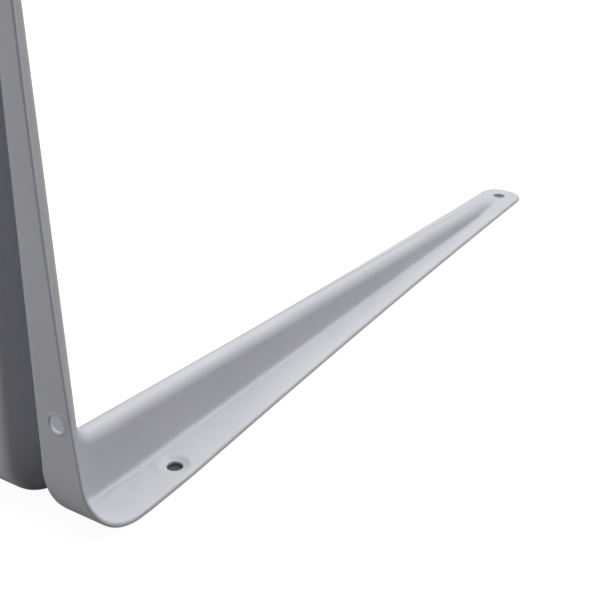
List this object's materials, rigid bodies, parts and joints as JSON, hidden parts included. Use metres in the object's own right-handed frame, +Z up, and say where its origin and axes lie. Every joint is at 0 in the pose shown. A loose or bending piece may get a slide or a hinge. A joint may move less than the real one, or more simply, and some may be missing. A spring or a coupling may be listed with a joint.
{
  "type": "shelf bracket",
  "caption": "Right-angled shelf bracket pressed from painted sheet steel, with tapering arms, a hollow stiffening rib round the inner corner and screw holes beside the rib and at each tip.",
  "frame": {"origin": "heel corner, where the planes of the two outer faces meet in the middle of the bracket's width", "axes": "+X along the base arm towards its tip, +Y across the bracket, +Z up the standing arm"},
  "size_m": [0.3005, 0.0438, 0.2505],
  "materials": {
    "paint": "pale grey satin paint"
  },
  "bodies": {
    "root": {"bracket": "paint"}
  },
  "joints": []
}
